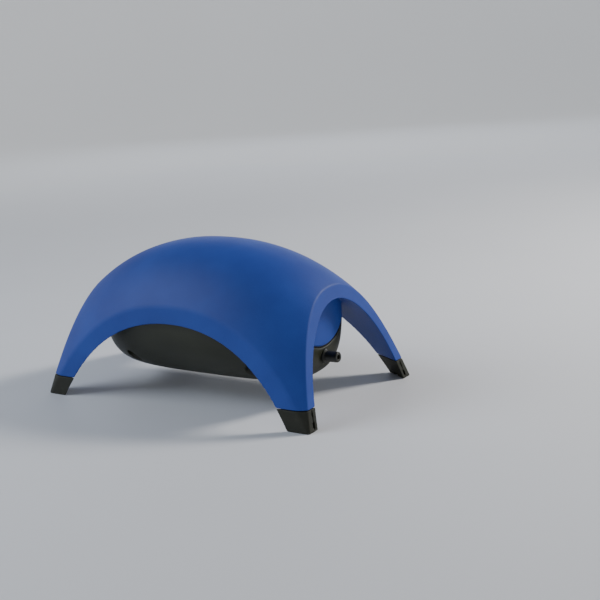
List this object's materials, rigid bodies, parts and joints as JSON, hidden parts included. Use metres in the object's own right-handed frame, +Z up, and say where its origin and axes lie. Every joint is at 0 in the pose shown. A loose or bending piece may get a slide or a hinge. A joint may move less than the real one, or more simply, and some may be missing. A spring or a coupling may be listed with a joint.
{
  "type": "aquarium air pump",
  "caption": "Domed aquarium air pump on splayed rubber-tipped legs, with a hull-shaped lower cover, a side air nozzle and a vibrating-arm diaphragm pump inside.",
  "frame": {"origin": "middle of the footprint, on the surface that the feet stand on", "axes": "+X out of the air nozzle along the length, +Y to the rear long side, +Z up"},
  "size_m": [0.164, 0.096, 0.0775],
  "materials": {
    "blue_shell": "fine spark-eroded grain, satin blue",
    "black_cover": "smooth matte black with a faint olive cast",
    "foot_rubber": "matte black moulded rubber",
    "seal_rubber": "matte black",
    "nozzle_plastic": "smooth matte black",
    "screw_steel": "zinc plated",
    "hose": "soft translucent vinyl, cloudy",
    "felt": "off-white pressed felt",
    "inner_plastic": "natural moulded plastic",
    "bobbin_plastic": "ivory moulded nylon",
    "arm_plastic": "white moulded plastic",
    "core_steel": "stacked laminations, dull",
    "copper": "enamelled copper wire, wound in layers",
    "tape": "yellow polyester tape",
    "clamp_steel": "pressed steel strip",
    "wire_jacket": "black jacket",
    "ferrite": "dark ground ferrite",
    "diaphragm_rubber": "smooth moulded rubber",
    "flap_rubber": "thin red-brown rubber"
  },
  "bodies": {
    "housing": {"top_shell": "blue_shell", "bottom_cover": "black_cover", "cover_gasket": "seal_rubber", "cover_screws": "screw_steel", "front_left_foot": "foot_rubber", "front_right_foot": "foot_rubber", "rear_left_foot": "foot_rubber", "rear_right_foot": "foot_rubber", "outlet_nozzle": "nozzle_plastic", "cord_grommet": "seal_rubber", "air_hose": "hose", "inlet_filter": "felt", "chassis": "inner_plastic", "chassis_dampers": "seal_rubber", "chassis_screws": "screw_steel", "magnet_core": "core_steel", "coil_bobbin": "bobbin_plastic", "coil_winding": "copper", "coil_tape": "tape", "core_clamp": "clamp_steel", "core_screws": "screw_steel", "lead_wires": "wire_jacket", "crimp_caps": "bobbin_plastic", "pivot_pin": "screw_steel", "pin_clips": "clamp_steel", "diaphragm": "diaphragm_rubber", "clamp_ring": "inner_plastic", "ring_screws": "screw_steel", "pump_chamber": "inner_plastic", "valve_plate": "inner_plastic", "chamber_base": "inner_plastic"},
    "arm": {"swing_arm": "arm_plastic", "magnet_yoke": "clamp_steel", "arm_magnets": "ferrite", "pivot_bush": "seal_rubber", "diaphragm_washers": "screw_steel", "diaphragm_screw": "screw_steel"},
    "inlet_valve": {"inlet_flap": "flap_rubber"},
    "outlet_valve": {"outlet_flap": "flap_rubber"}
  },
  "joints": [
    {"name": "arm_swing", "type": "hinge", "parent": "housing", "child": "arm", "pos_m": [0.048, 0, 0.0405], "axis": [0, 1, 0], "range_deg": [-2.2, 2.2], "stiffness_Nm_per_rad": 3, "deforming": ["diaphragm"]},
    {"name": "inlet_flap_lift", "type": "hinge", "parent": "housing", "child": "inlet_valve", "pos_m": [0.0156, 0, 0.02755], "axis": [0, 1, 0], "range_deg": [0, 10], "stiffness_Nm_per_rad": 0.0002},
    {"name": "outlet_flap_drop", "type": "hinge", "parent": "housing", "child": "outlet_valve", "pos_m": [0.0214, 0, 0.02445], "axis": [0, 1, 0], "range_deg": [0, 10], "stiffness_Nm_per_rad": 0.0002}
  ]
}
